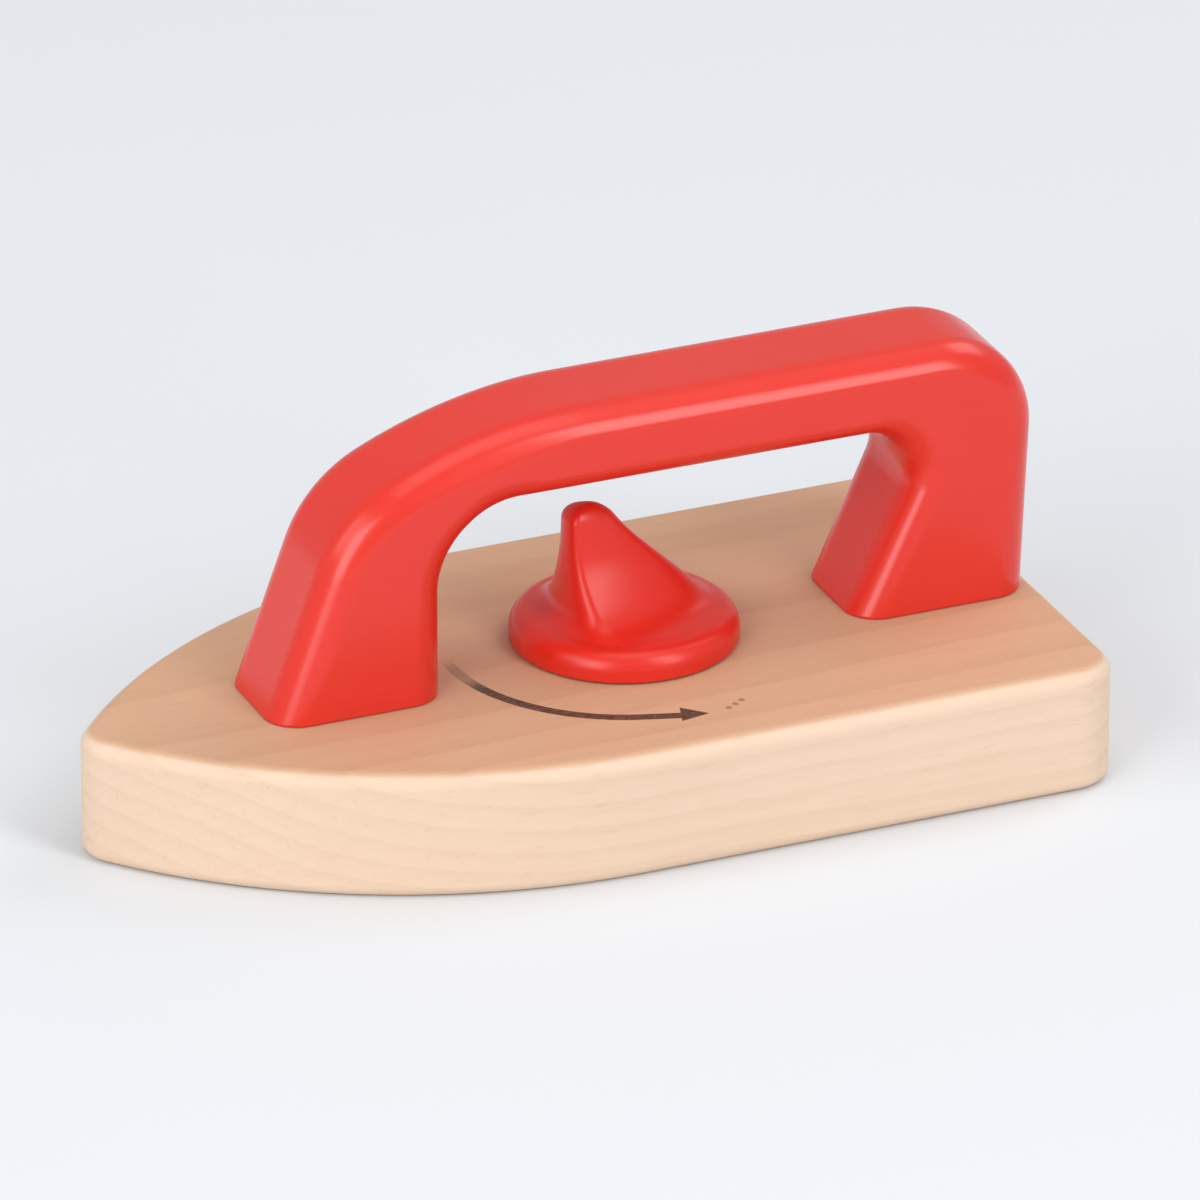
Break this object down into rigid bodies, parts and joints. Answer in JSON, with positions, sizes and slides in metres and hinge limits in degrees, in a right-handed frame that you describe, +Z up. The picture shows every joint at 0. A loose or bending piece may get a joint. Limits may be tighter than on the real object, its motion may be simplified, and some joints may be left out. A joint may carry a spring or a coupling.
{
  "type": "toy iron",
  "caption": "Wooden toy iron: a pointed solid sole block with a bow handle screwed on from below and a turning dial with a fin that clicks round on a sprung ball.",
  "frame": {"origin": "middle of the iron's box, on the sole", "axes": "+Z up out of the sole, +X from the nose to the heel, +Y across the iron; the XZ plane is the plane of symmetry"},
  "size_m": [0.152, 0.078, 0.0626],
  "materials": {
    "sole_wood": "sanded pale hardwood under a thin matt varnish",
    "red_lacquer": "wood under gloss red lacquer",
    "dowel_wood": "sanded hardwood",
    "red_plastic": "gloss moulded plastic",
    "steel": "zinc plated",
    "nylon": "natural nylon"
  },
  "bodies": {
    "iron": {"sole_block": "sole_wood", "handle": "red_lacquer", "handle_dowels": "dowel_wood", "handle_screws": "steel", "handle_screw_washers": "steel", "handle_screw_plugs": "dowel_wood", "dial_glide_washer": "nylon", "dial_plug": "dowel_wood", "detent_spring": "steel"},
    "dial": {"dial_knob": "red_plastic", "dial_screw": "steel", "dial_retaining_washer": "steel"},
    "click_ball": {"detent_ball": "steel"}
  },
  "joints": [
    {"name": "dial_turn", "type": "hinge", "parent": "iron", "child": "dial", "pos_m": [0.0111, 0, 0.02], "axis": [0, 0, 1], "continuous": true},
    {"name": "click_ball_press", "type": "slide", "parent": "iron", "child": "click_ball", "axis": [0, 0, -1], "range_m": [0, 0.00135], "stiffness_N_per_m": 400, "springref_m": -0.002, "deforming": ["detent_spring"]}
  ]
}
